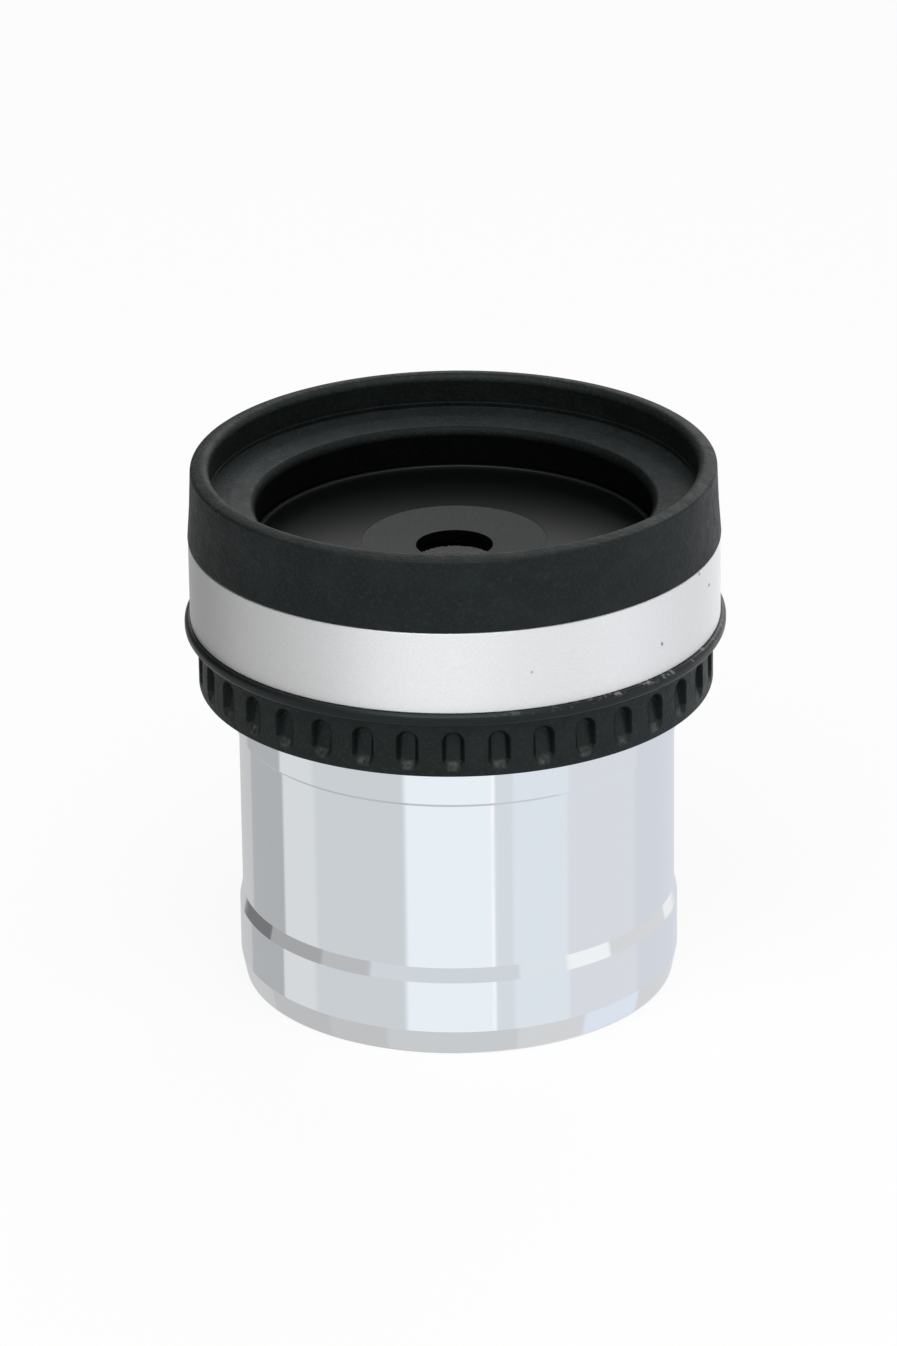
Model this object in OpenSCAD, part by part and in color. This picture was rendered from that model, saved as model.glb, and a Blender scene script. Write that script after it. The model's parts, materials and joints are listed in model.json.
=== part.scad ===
// Telescope eyepiece of short focal length with a push-fit barrel.
// Millimetres. Z = 0 is the open end of the barrel and +Z points to the eye.

/* [Barrel] */
// Outer diameter of the push-fit barrel
barrel_d = 31.7; // [31:0.05:33]
// Length from the open end to the shoulder
barrel_len = 22.75; // [18:0.25:30]
// Wall of the plain part of the barrel
barrel_wall = 2.05; // [1.8:0.05:2.6]
// Length of the lead-in taper at the open end
lead_in_len = 1.9; // [0.5:0.1:2.5]
// How far the lead-in taper draws in, on the radius
lead_in_depth = 0.38; // [0.1:0.02:0.5]
// Rounding of the open end's outer edge
barrel_edge_r = 0.25; // [0.1:0.05:0.4]
// Length of the full-diameter land above the lead-in
lower_land = 3.83; // [2:0.01:5]
// Depth of the safety undercut, on the radius
undercut_depth = 0.22; // [0.1:0.02:0.5]
// Length of the ramp from the lower land into the undercut
undercut_ramp = 1.07; // [0.3:0.01:1.5]
// Length of the full-diameter land below the shoulder
upper_land = 3.25; // [2:0.05:5]
// Wall outside the filter thread in the open end
filter_wall = 1.6; // [1.3:0.05:1.75]
// Length of the filter thread
filter_thread_len = 3.6; // [2.5:0.1:5]
// Chamfer at the mouth of the filter thread
filter_chamfer = 0.4; // [0.2:0.05:0.6]
// Width of the shoulder between the barrel and its spigot
shoulder_w = 0.95; // [0.6:0.05:1.15]
// Length of the threaded spigot above the shoulder
spigot_len = 3.5; // [2.8:0.1:4]
// Pitch of the spigot's thread
spigot_pitch = 0.75; // [0.5:0.05:1]
// Depth of the spigot's thread
spigot_thread_depth = 0.35; // [0.2:0.05:0.45]

/* [Grip ring] */
// Height of the grip ring
grip_h = 4.12; // [3.8:0.02:6]
// Wall of the grip ring
grip_wall = 1.15; // [0.9:0.05:1.4]
// Rounding of the grip ring's outer edges
grip_edge_r = 0.22; // [0.1:0.02:0.3]
// Number of pockets round the grip ring
pocket_count = 36; // [24:1:42]
// Width of a pocket
pocket_w = 1.75; // [1.2:0.05:2]
// Height of a pocket
pocket_h = 3.0; // [2.4:0.05:3.2]
// Depth of a pocket
pocket_depth = 0.42; // [0.2:0.02:0.7]
// Height of the ramp at a pocket's foot
pocket_ramp = 1.3; // [0.6:0.05:1.6]
// Height of a pocket's foot above the bottom of the ring
pocket_foot = 0.38; // [0.3:0.02:0.5]

/* [Housing] */
// Wall of the skirt round the barrel's thread, inside the grip ring
skirt_wall = 2.25; // [1.8:0.05:3]
// Step from the skirt out to the body inside the silver band, on the radius
body_step = 0.7; // [0.5:0.05:1.2]
// How far the lip stands proud of the silver band, on the radius
lip_proud = 0.4; // [0.2:0.01:0.8]
// Height of the lip
lip_h = 0.87; // [0.7:0.01:1.5]
// Rounding of the lip's edges
lip_edge_r = 0.26; // [0.1:0.02:0.3]
// Height of the collar that carries the eyecup
collar_h = 1.58; // [1.2:0.02:1.8]
// Thickness of the floor that carries the lens cell
floor_t = 1.1; // [0.8:0.05:1.4]
// Width of the ledge under the eye plate
ledge_w = 0.9; // [0.6:0.05:1.5]

/* [Silver band] */
// Height of the band
band_h = 5.98; // [5.8:0.02:8]
// Wall of the band
band_wall = 0.97; // [0.6:0.01:1.2]
// Chamfer on the band's outer edges
band_chamfer = 0.14; // [0.05:0.01:0.3]

/* [Eyecup] */
// How far the foot of the eyecup stands proud of the silver band, on the radius
cup_proud = 0.04; // [0:0.01:0.3]
// How far the eyecup draws in from its foot to its rim, on the radius
cup_taper = 0.28; // [0:0.02:0.6]
// Height of the eyecup above the band
cup_h = 5.4; // [4.8:0.05:8]
// Thickness of the rim
rim_t = 1.12; // [0.8:0.02:1.4]
// Rounding of the rim's outer shoulder
rim_shoulder_r = 0.72; // [0.3:0.02:0.8]
// Rounding of the rim's inner edge
rim_edge_r = 0.2; // [0.1:0.02:0.3]
// Height of the rim above the shelf
rim_h = 2.57; // [1.5:0.01:3]
// How far the inside of the rim draws in towards the shelf
rim_draft = 0.2; // [0:0.02:0.3]
// Fillet between the rim and the shelf
rim_fillet_r = 0.25; // [0.1:0.05:0.5]
// Fall of the shelf towards the well
shelf_fall = 0.25; // [0.1:0.01:0.4]
// Diameter of the eye well at its edge
well_d = 28.3; // [27:0.1:29]
// How far the well widens from its edge down to the eye plate, on the radius
well_flare = 0.25; // [0:0.05:0.4]
// Rounding of the shelf's inner edge
well_edge_r = 0.25; // [0.1:0.05:0.5]
// Wall of the skirt that lines the well
well_skirt_t = 0.5; // [0.4:0.05:0.8]
// Wall of the outer skirt at the foot
cup_skirt_t = 1.43; // [1.2:0.01:1.6]
// Rounding of the foot's outer edge
cup_edge_r = 0.12; // [0.05:0.01:0.3]

/* [Eye end] */
// Depth of the eye plate below the top of the band
plate_recess = 0.42; // [0.2:0.02:0.8]
// Thickness of the eye plate's rim
plate_t = 2.0; // [1.5:0.05:2.2]
// Diameter of the eye cap
cap_d = 13.2; // [12.6:0.1:15]
// Depth of the eye cap below the eye plate
cap_recess = 0.23; // [0.1:0.01:0.5]
// Fall of the eye cap's dished face towards the hole
cap_dish = 0.33; // [0.1:0.01:0.4]
// Thickness of the eye cap at the edge of the hole
cap_lip_t = 0.6; // [0.4:0.05:1]
// Wall of the eye cap's skirt
cap_skirt_t = 1.45; // [1:0.05:1.6]
// Chamfer on the eye cap's outer edge
cap_chamfer = 0.08; // [0.04:0.01:0.15]

/* [Lens cell] */
// Outer diameter of the cell's tube
cell_d = 12.6; // [12:0.1:14]
// Height of the threaded neck above the flange
neck_h = 1.7; // [1.4:0.05:1.8]
// Diameter of the flange
flange_d = 17; // [16:0.1:19]
// Thickness of the flange
flange_t = 1.2; // [0.9:0.05:1.4]
// Thickness of the ledge under the lens stack
lens_seat_t = 0.5; // [0.4:0.05:0.8]
// Diameter of the glare chamber under the lens stack
glare_chamber_d = 7.2; // [6.8:0.1:7.6]
// Distance from the last lens to the field stop
stop_distance = 2.6; // [2:0.1:4]
// Diameter of the field stop disc
stop_d = 9.1; // [8.6:0.1:9.6]
// Thickness of the field stop disc
stop_t = 0.4; // [0.3:0.05:0.6]
// Diameter of the field stop's hole
stop_hole_d = 3.74; // [3:0.02:4.4]
// Thickness left at the sharp edge of the field stop's hole
stop_edge_t = 0.1; // [0.05:0.01:0.15]
// Thickness of the lock ring under the field stop
lock_ring_t = 1.1; // [0.9:0.05:1.5]
// Bore of the lock ring
lock_ring_bore_d = 6.2; // [5.6:0.1:6.8]
// Width of the lock ring's spanner slots
spanner_slot_w = 0.8; // [0.6:0.05:1.2]
// Depth of the lock ring's spanner slots
spanner_slot_h = 0.6; // [0.3:0.05:0.7]
// Length of the cell below the lock ring
cell_skirt = 0.3; // [0.2:0.05:1]
// Thickness of the glare baffle
baffle_t = 0.4; // [0.3:0.05:0.6]

/* [Lenses] */
// Diameter of all four lens elements
lens_d = 5.8; // [5.2:0.1:6]
// Width of the metal that overlaps a lens at each end of the stack
lens_ledge = 0.17; // [0.1:0.01:0.3]
// Radius of the cemented surfaces, on the flint
cement_r = 3.6; // [3.4:0.02:4.2]
// Radius of the crowns' surfaces that face each other
crown_r = 3.48; // [3.3:0.02:4.2]
// Edge thickness of a crown
crown_edge_t = 0.36; // [0.25:0.01:0.5]
// Centre thickness of a flint
flint_t = 0.6; // [0.5:0.02:0.8]
// Width of the flat rim round a flint's hollow face
flint_rim = 0.15; // [0.1:0.01:0.3]
// Air gap between the crowns on the axis
air_gap = 0.3; // [0.2:0.02:0.8]
// Wall of the ring between the doublets
spacer_wall = 0.4; // [0.3:0.02:0.5]

/* [Fits] */
// Radial clearance of the barrel's thread
thread_gap = 0.05; // [0.02:0.01:0.1]
// Radial clearance of pieces that slip on or in
fit_gap = 0.05; // [0.02:0.01:0.1]
// Clearance between glass and what holds it
glass_gap = 0.02; // [0.01:0.01:0.05]
// Axial clearance of the glare baffle and of the eyecup's groove
float_gap = 0.05; // [0.03:0.01:0.1]
// Radial clearance between the glare baffle and the pieces round it
baffle_gap = 0.3; // [0.2:0.05:0.5]

/* [Hidden] */
$fn = 180;
// How far a cutting shape runs past the face it cuts
over = 0.01;

// Radii of the barrel
barrel_r = barrel_d / 2;
bore_r = barrel_r - barrel_wall;
lead_in_r = barrel_r - lead_in_depth;
filter_thread_r = barrel_r - filter_wall;
undercut_r = barrel_r - undercut_depth;
spigot_r = barrel_r - shoulder_w;
spigot_turns = floor(spigot_len / spigot_pitch - 0.5);
// Share of the pitch that one V of the thread takes
thread_v_share = 0.8;
housing_thread_r = spigot_r + thread_gap;

// Radii of the housing and the pieces round it, from the barrel's thread out
skirt_r = housing_thread_r + skirt_wall;
grip_bore_r = skirt_r + fit_gap;
grip_r = grip_bore_r + grip_wall;
pocket_floor_r = grip_r - pocket_depth;
body_r = skirt_r + body_step;
band_bore_r = body_r + fit_gap;
band_r = band_bore_r + band_wall;
lip_r = band_r + lip_proud;

// Radii of the eyecup, the collar in its groove and the eye plate
cup_base_r = band_r + cup_proud;
cup_groove_r = cup_base_r - cup_skirt_t;
cup_rim_r = cup_base_r - cup_taper;
rim_inner_r = cup_rim_r - rim_t;
shelf_r = rim_inner_r - rim_draft;
well_r = well_d / 2;
well_foot_r = well_r + well_flare;
well_skirt_r = well_foot_r + well_skirt_t;
collar_r = cup_groove_r - fit_gap;
collar_bore_r = well_skirt_r + fit_gap;
plate_r = collar_bore_r - fit_gap;
chamber_r = plate_r - ledge_w;

// Radii of the lens cell and what it holds
lens_r = lens_d / 2;
lens_bore_r = lens_r + fit_gap;
eye_hole_r = lens_r - lens_ledge;
cap_r = cap_d / 2;
cap_bore_r = cap_r - cap_skirt_t;
neck_r = cap_bore_r - fit_gap;
plate_hole_r = cap_r + fit_gap;
cell_r = cell_d / 2;
cell_hole_r = cell_r + fit_gap;
flange_r = flange_d / 2;
stop_r = stop_d / 2;
stop_bore_r = stop_r + fit_gap;
stop_hole_r = stop_hole_d / 2;
glare_chamber_r = glare_chamber_d / 2;
lock_ring_bore_r = lock_ring_bore_d / 2;
baffle_hole_r = cell_r + baffle_gap;
baffle_r = spigot_r - baffle_gap;

// Heights of the outside, from the open end up
z_lower_land = lead_in_len + lower_land;
z_undercut = z_lower_land + undercut_ramp;
z_upper_land = barrel_len - upper_land;
z_shoulder = barrel_len;
z_spigot = z_shoulder + spigot_len;
z_pocket = z_shoulder + pocket_foot;
z_lip = z_shoulder + grip_h;
z_band = z_lip + lip_h;
z_cup = z_band + band_h;
z_collar = z_cup + collar_h;
z_rim = z_cup + cup_h;
z_shelf = z_rim - rim_h;
z_well_edge = z_shelf - shelf_fall;
z_groove = z_collar + float_gap;

// Heights of the eye end, from the eye plate down
z_plate = z_cup - plate_recess;
z_well_skirt = z_plate + float_gap;
z_ledge = z_plate - plate_t;
z_cap = z_plate - cap_recess;
z_hole = z_cap - cap_dish;
z_glass = z_hole - cap_lip_t;
z_neck = z_glass - float_gap;
z_flange = z_neck - neck_h;
z_cap_foot = z_flange + float_gap;
z_floor = z_flange - flange_t;
z_floor_under = z_floor - floor_t;
z_baffle = z_spigot + float_gap;
z_step = z_baffle + baffle_t + float_gap;

// Sagitta of a sphere of radius r at height h from its axis
function sag(r, h) = r - sqrt(r * r - h * h);

// Lens stack, from the eye lens down
crown_top_r = cement_r - glass_gap;
crown_t = sag(crown_top_r, lens_r) + crown_edge_t + sag(crown_r, lens_r);
flint_edge_t = flint_t + sag(cement_r, lens_r - flint_rim);
doublet_t = flint_t + glass_gap + crown_t;
stack_t = 2 * doublet_t + air_gap;
spacer_r = lens_r - spacer_wall;
spacer_h = air_gap + 2 * sag(crown_r, spacer_r) - 2 * glass_gap;
z_crowns = z_glass - doublet_t - air_gap / 2;
z_seat = z_glass - stack_t;
z_seat_under = z_seat - lens_seat_t;
z_stop_seat = z_seat - stop_distance;
z_stop = z_stop_seat - stop_t;
z_lock_ring = z_stop - lock_ring_t;
z_cell = z_lock_ring - cell_skirt;

// Plain disc section from the axis to r, between two heights
module disc(r, z0, z1) {
    translate([0, z0])
        square([r, z1 - z0]);
}

// Web between the corner p, with neighbours a and b, and the arc that rounds it.
// Taken away it rounds an outer corner, and added it fills an inner one.
module corner_web(p, a, b, rad) {
    u = (a - p) / norm(a - p);
    v = (b - p) / norm(b - p);
    mid = (u + v) / norm(u + v);
    half = acos(u * v) / 2;
    run = rad / tan(half);
    centre = p + mid * rad / sin(half);
    difference() {
        polygon([p - mid * over, p + u * run, centre, p + v * run]);
        translate(centre)
            circle(rad);
    }
}

// One V of the spigot's thread at height z, cut from the wall at r towards dir
module thread_cut(r, z, dir) {
    half = spigot_pitch * thread_v_share / 2;
    polygon([[r - dir * over, z - half], [r + dir * spigot_thread_depth, z], [r - dir * over, z + half]]);
}

// All turns of the spigot's thread, cut from the wall at r towards dir
module thread_cuts(r, dir) {
    for (i = [0:spigot_turns - 1])
        thread_cut(r, z_shoulder + (i + 1) * spigot_pitch, dir);
}

// Flint with its flat face up at Z = 0 and its hollow face down
module flint() {
    difference() {
        translate([0, 0, -flint_edge_t])
            cylinder(h = flint_edge_t, r = lens_r);
        translate([0, 0, -flint_t - cement_r])
            sphere(cement_r);
    }
}

// Crown cemented under that flint
module crown() {
    top = -flint_t - glass_gap;
    intersection() {
        translate([0, 0, top - crown_t])
            cylinder(h = crown_t, r = lens_r);
        translate([0, 0, top - crown_top_r])
            sphere(crown_top_r);
        translate([0, 0, top - crown_t + crown_r])
            sphere(crown_r);
    }
}

// Chromed barrel with a lead-in, a safety undercut, a filter thread and a threaded spigot
module nosepiece() {
    color("gainsboro")
        rotate_extrude()
            difference() {
                polygon([
                    [bore_r, 0], [lead_in_r, 0], [barrel_r, lead_in_len],
                    [barrel_r, z_lower_land], [undercut_r, z_undercut],
                    [undercut_r, z_upper_land - undercut_depth], [barrel_r, z_upper_land],
                    [barrel_r, z_shoulder], [spigot_r, z_shoulder], [spigot_r, z_spigot], [bore_r, z_spigot]
                ]);
                corner_web([lead_in_r, 0], [bore_r, 0], [barrel_r, lead_in_len], barrel_edge_r);
                disc(filter_thread_r, -over, filter_thread_len);
                polygon([
                    [0, -over], [filter_thread_r + filter_chamfer + over, -over],
                    [filter_thread_r, filter_chamfer], [0, filter_chamfer]
                ]);
                thread_cuts(spigot_r, -1);
            }
}

// Thin ring that floats between the spigot and the housing and hides the chamber above
module glare_baffle() {
    color("dimgray")
        rotate_extrude()
            difference() {
                disc(baffle_r, z_baffle, z_baffle + baffle_t);
                disc(baffle_hole_r, z_baffle - over, z_baffle + baffle_t + over);
            }
}

// Black turned body with the lip, the collar for the eyecup and the thread for the barrel
module housing() {
    color("dimgray")
        rotate_extrude()
            difference() {
                union() {
                    disc(skirt_r, z_shoulder, z_lip);
                    disc(lip_r, z_lip, z_band);
                    disc(body_r, z_band, z_cup);
                    disc(collar_r, z_cup, z_collar);
                }
                corner_web([lip_r, z_lip], [0, z_lip], [lip_r, z_band], lip_edge_r);
                corner_web([lip_r, z_band], [0, z_band], [lip_r, z_lip], lip_edge_r);
                disc(housing_thread_r, z_shoulder - over, z_step);
                thread_cuts(housing_thread_r, 1);
                disc(bore_r, z_step, z_floor_under);
                disc(cell_hole_r, z_floor_under, z_floor);
                disc(chamber_r, z_floor, z_ledge);
                disc(collar_bore_r, z_ledge, z_collar + over);
            }
}

// Pocket outline seen from outside, a slot with round ends
module pocket_outline() {
    half = pocket_w / 2;
    translate([0, z_pocket + half])
        circle(half);
    translate([0, z_pocket + pocket_h - half])
        circle(half);
    translate([-half, z_pocket + half])
        square([pocket_w, pocket_h - pocket_w]);
}

// Section through the middle of a pocket, with the ramp at its foot
module pocket_section() {
    z_top = z_pocket + pocket_h;
    polygon([
        [grip_r + fit_gap, z_pocket], [pocket_floor_r, z_pocket + pocket_ramp], [pocket_floor_r, z_top],
        [grip_r + pocket_depth, z_top], [grip_r + pocket_depth, z_pocket]
    ]);
}

// Waste of one pocket, on the +X side
module pocket() {
    intersection() {
        translate([pocket_floor_r - over, 0, 0])
            rotate([90, 0, 90])
                linear_extrude(2 * pocket_depth)
                    pocket_outline();
        rotate([90, 0, 0])
            linear_extrude(pocket_w, center = true)
                pocket_section();
    }
}

// Black grip ring with a row of arch-topped pockets, the first one at the front
module grip_ring() {
    color("darkslategray")
        difference() {
            rotate_extrude()
                difference() {
                    disc(grip_r, z_shoulder, z_lip);
                    disc(grip_bore_r, z_shoulder - over, z_lip + over);
                    corner_web([grip_r, z_shoulder], [0, z_shoulder], [grip_r, z_lip], grip_edge_r);
                    corner_web([grip_r, z_lip], [0, z_lip], [grip_r, z_shoulder], grip_edge_r);
                }
            for (i = [0:pocket_count - 1])
                rotate(i * 360 / pocket_count - 90)
                    pocket();
        }
}

// Satin aluminium sleeve between the lip and the eyecup
module silver_band() {
    color("silver")
        rotate_extrude()
            polygon([
                [band_bore_r, z_band], [band_r - band_chamfer, z_band], [band_r, z_band + band_chamfer],
                [band_r, z_cup - band_chamfer], [band_r - band_chamfer, z_cup], [band_bore_r, z_cup]
            ]);
}

// Rubber eyecup with a raised rim, a shelf and a well, grooved underneath for the collar
module eyecup() {
    foot = [cup_base_r, z_cup];
    rim_out = [cup_rim_r, z_rim];
    rim_in = [rim_inner_r, z_rim];
    shelf_out = [shelf_r, z_shelf];
    shelf_in = [well_r, z_well_edge];
    skirt_in = [well_foot_r, z_well_skirt];
    color("#2a2d2d")
        rotate_extrude()
            difference() {
                union() {
                    polygon([
                        skirt_in, [well_skirt_r, z_well_skirt], [well_skirt_r, z_groove],
                        [cup_groove_r, z_groove], [cup_groove_r, z_cup], foot,
                        rim_out, rim_in, shelf_out, shelf_in
                    ]);
                    corner_web(shelf_out, rim_in, shelf_in, rim_fillet_r);
                }
                corner_web(rim_out, foot, rim_in, min(rim_shoulder_r, rim_t - rim_edge_r));
                corner_web(rim_in, shelf_out, rim_out, rim_edge_r);
                corner_web(shelf_in, skirt_in, shelf_out, well_edge_r);
                corner_web(foot, [cup_groove_r, z_cup], rim_out, cup_edge_r);
            }
}

// Flat ring at the bottom of the well, which holds the lens cell's flange down
module eye_plate() {
    color("#202424")
        rotate_extrude()
            difference() {
                union() {
                    disc(plate_r, z_ledge, z_plate);
                    disc(flange_r, z_flange, z_ledge);
                }
                disc(plate_hole_r, z_flange - over, z_plate + over);
            }
}

// Dished screw cap that holds the lens stack down and leaves the eye hole
module eye_cap() {
    color("#3a3d3d")
        rotate_extrude()
            polygon([
                [eye_hole_r, z_glass], [eye_hole_r, z_hole],
                [cap_r - cap_chamfer, z_cap], [cap_r, z_cap - cap_chamfer],
                [cap_r, z_cap_foot], [cap_bore_r, z_cap_foot], [cap_bore_r, z_glass]
            ]);
}

// Flanged tube that holds the lens stack and the field stop
module lens_cell() {
    color("#303333")
        rotate_extrude()
            difference() {
                union() {
                    disc(neck_r, z_flange, z_neck);
                    disc(flange_r, z_floor, z_flange);
                    disc(cell_r, z_cell, z_floor);
                }
                disc(lens_bore_r, z_seat, z_neck + over);
                disc(eye_hole_r, z_seat_under, z_seat);
                disc(glare_chamber_r, z_stop_seat, z_seat_under);
                disc(stop_bore_r, z_cell - over, z_stop_seat);
            }
}

// Outer element of the eye doublet
module eye_flint() {
    color("lightcyan")
        translate([0, 0, z_glass])
            flint();
}

// Inner element of the eye doublet
module eye_crown() {
    color("azure")
        translate([0, 0, z_glass])
            crown();
}

// Ring that keeps the two doublets apart
module lens_spacer() {
    color("darkgoldenrod")
        rotate_extrude()
            difference() {
                disc(lens_r, z_crowns - spacer_h / 2, z_crowns + spacer_h / 2);
                disc(spacer_r, z_crowns - spacer_h, z_crowns + spacer_h);
            }
}

// Inner element of the field doublet
module field_crown() {
    color("azure")
        translate([0, 0, z_seat])
            mirror([0, 0, 1])
                crown();
}

// Outer element of the field doublet
module field_flint() {
    color("lightcyan")
        translate([0, 0, z_seat])
            mirror([0, 0, 1])
                flint();
}

// Thin disc with a sharp-edged hole in the focal plane
module field_stop() {
    color("dimgray")
        rotate_extrude()
            polygon([
                [stop_hole_r, z_stop_seat], [stop_r, z_stop_seat], [stop_r, z_stop],
                [stop_hole_r + stop_t - stop_edge_t, z_stop], [stop_hole_r, z_stop_seat - stop_edge_t]
            ]);
}

// Threaded ring under the field stop with two spanner slots
module stop_lock_ring() {
    color("darkgoldenrod")
        difference() {
            rotate_extrude()
                difference() {
                    disc(stop_r, z_lock_ring, z_stop);
                    disc(lock_ring_bore_r, z_lock_ring - over, z_stop + over);
                }
            translate([-stop_d, -spanner_slot_w / 2, z_lock_ring - over])
                cube([2 * stop_d, spanner_slot_w, spanner_slot_h + over]);
        }
}

nosepiece();
glare_baffle();
housing();
grip_ring();
silver_band();
eyecup();
eye_plate();
eye_cap();
lens_cell();
eye_flint();
eye_crown();
lens_spacer();
field_crown();
field_flint();
field_stop();
stop_lock_ring();
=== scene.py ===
"""Looks of a short telescope eyepiece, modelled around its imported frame.

Sizes are millimetres in the frame's own axes: Z runs up the optical axis from the barrel's open end
to the eye, and the camera stands on the -Y side. A mesh is scaled to metres when it becomes an object.
"""

import json
import logging
import math
from dataclasses import dataclass, field
from enum import Enum
from typing import Callable, Sequence

import bmesh
import bpy
from mathutils import Matrix, Vector

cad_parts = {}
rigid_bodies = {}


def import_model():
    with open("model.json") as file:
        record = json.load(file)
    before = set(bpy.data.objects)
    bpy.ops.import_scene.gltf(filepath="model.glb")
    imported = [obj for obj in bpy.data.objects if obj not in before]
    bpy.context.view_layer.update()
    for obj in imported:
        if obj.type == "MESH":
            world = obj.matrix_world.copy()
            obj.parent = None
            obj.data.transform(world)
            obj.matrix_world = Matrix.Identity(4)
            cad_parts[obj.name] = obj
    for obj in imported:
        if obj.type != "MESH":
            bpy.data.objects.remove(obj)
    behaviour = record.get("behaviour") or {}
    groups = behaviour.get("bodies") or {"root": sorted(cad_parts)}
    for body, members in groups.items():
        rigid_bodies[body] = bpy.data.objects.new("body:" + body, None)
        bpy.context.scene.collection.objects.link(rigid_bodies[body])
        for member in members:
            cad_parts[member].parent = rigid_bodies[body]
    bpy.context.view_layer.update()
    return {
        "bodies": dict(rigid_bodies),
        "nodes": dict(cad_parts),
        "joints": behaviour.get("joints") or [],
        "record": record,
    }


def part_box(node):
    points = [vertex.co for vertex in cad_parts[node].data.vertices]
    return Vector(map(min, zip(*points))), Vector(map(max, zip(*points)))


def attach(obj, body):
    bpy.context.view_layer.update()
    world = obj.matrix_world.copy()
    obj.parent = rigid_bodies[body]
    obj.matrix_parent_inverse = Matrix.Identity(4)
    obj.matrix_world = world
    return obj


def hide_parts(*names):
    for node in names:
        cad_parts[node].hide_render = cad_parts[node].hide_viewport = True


LOG = logging.getLogger("eyepiece")
MM = 0.001
FULL_TURN = 2 * math.pi
ROUND_STEPS = 192
ROUND_SEGMENTS = 5
THREAD_STEPS = 96
WELD = 1e-4
SHARP_ANGLE = math.radians(38)
NOISE_SPREAD = (0.3, 0.7)


class Body(Enum):
    """Moving bodies of the frame."""

    BARREL = "nosepiece"
    BAFFLE = "glare_baffle"
    HOUSING = "housing"
    EYECUP = "eyecup"


class Slot(Enum):
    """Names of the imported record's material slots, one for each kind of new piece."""

    CHROME = "barrel_chrome"
    HOUSING = "housing_black"
    EYE_END = "eye_end_black"
    BLACKENED = "blackened_metal"
    BAND = "band_aluminium"
    GRIP = "grip_rubber"
    EYECUP = "eyecup_rubber"
    COATED = "coated_glass"


class Tier(Enum):
    """Rings of cards in the light tent, by the height at which they stand."""

    TABLE = "on the table round the foot"
    LOW = "below eye level"
    LEVEL = "at eye level"
    HIGH = "above eye level"


@dataclass(frozen=True)
class Extent:
    """Outer radius and height range of a frame node, in millimetres."""

    r: float
    low: float
    high: float

    @classmethod
    def of(cls, node: str) -> "Extent":
        """Reads a node's extent from the frame.

        Args:
            node: Name of the frame node.

        Returns:
            The node's outer radius, lowest and highest place.
        """
        lowest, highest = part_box(node)
        return cls(highest.x / MM, lowest.z / MM, highest.z / MM)


@dataclass(frozen=True)
class Corner:
    """One corner of a turned section: its radius, its height and how far it is rounded."""

    r: float
    z: float
    rounding: float = 0.0


@dataclass(frozen=True)
class Helix:
    """A screw thread's ridge, from root to crest, with its widths as shares of the pitch."""

    root_r: float
    crest_r: float
    low: float
    high: float
    pitch: float
    root_share: float = 0.85
    crest_share: float = 0.15


class Lathe:
    """Turns sections and threads about the optical axis."""

    @staticmethod
    def chain(bm: bmesh.types.BMesh, corners: Sequence[Corner], closed: bool) -> None:
        """Draws a section in the X-Z plane and rounds its corners.

        Args:
            bm: Mesh that takes the section.
            corners: Corners in order.
            closed: Whether the last corner joins the first.
        """
        verts = [bm.verts.new((c.r, 0, c.z)) for c in corners]
        for a, b in zip(verts, verts[1:]):
            bm.edges.new((a, b))
        if closed:
            bm.edges.new((verts[-1], verts[0]))
        places = [v.co.copy() for v in verts]
        for index, corner in enumerate(corners):
            if not corner.rounding:
                continue
            back = places[index - 1] - places[index]
            ahead = places[(index + 1) % len(places)] - places[index]
            bmesh.ops.bevel(
                bm,
                geom=[verts[index]],
                offset=corner.rounding / math.tan(back.angle(ahead) / 2),
                offset_type="OFFSET",
                affect="VERTICES",
                segments=ROUND_SEGMENTS,
                profile=0.5,
                material=-1,
            )

    @staticmethod
    def spin(bm: bmesh.types.BMesh, steps: int = ROUND_STEPS) -> None:
        """Turns all that a mesh holds once round the axis.

        Args:
            bm: Mesh with a section in it.
            steps: Number of faces round the turn.
        """
        bmesh.ops.spin(
            bm,
            geom=bm.verts[:] + bm.edges[:],
            cent=(0, 0, 0),
            axis=(0, 0, 1),
            angle=FULL_TURN,
            steps=steps,
            use_merge=True,
        )

    @classmethod
    def turned(cls, corners: Sequence[Corner]) -> bmesh.types.BMesh:
        """Turns a closed section.

        Args:
            corners: Corners of the section in order.

        Returns:
            A new mesh of the turned solid.
        """
        bm = bmesh.new()
        cls.chain(bm, corners, closed=True)
        cls.spin(bm)
        return bm

    @staticmethod
    def cut_thread(bm: bmesh.types.BMesh, helix: Helix) -> None:
        """Adds a thread's ridge to a turned solid.

        Args:
            bm: Mesh that takes the ridge.
            helix: Sizes of the thread.
        """
        root, crest = helix.pitch * helix.root_share / 2, helix.pitch * helix.crest_share / 2
        start = helix.low + root
        turns = (helix.high - helix.low - 2 * root) / helix.pitch
        corners = [
            (helix.root_r, -root),
            (helix.crest_r, -crest),
            (helix.crest_r, crest),
            (helix.root_r, root),
        ]
        verts = [bm.verts.new((r, 0, start + z)) for r, z in corners]
        first = bm.faces.new(verts)
        edges = first.edges[:]
        turned = bmesh.ops.spin(
            bm,
            geom=verts + edges,
            cent=(0, 0, 0),
            axis=(0, 0, 1),
            dvec=(0, 0, helix.pitch / THREAD_STEPS),
            angle=FULL_TURN * turns,
            steps=round(turns * THREAD_STEPS),
        )
        last = [e for e in turned["geom_last"] if isinstance(e, bmesh.types.BMEdge)]
        bmesh.ops.contextual_create(bm, geom=last)


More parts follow.
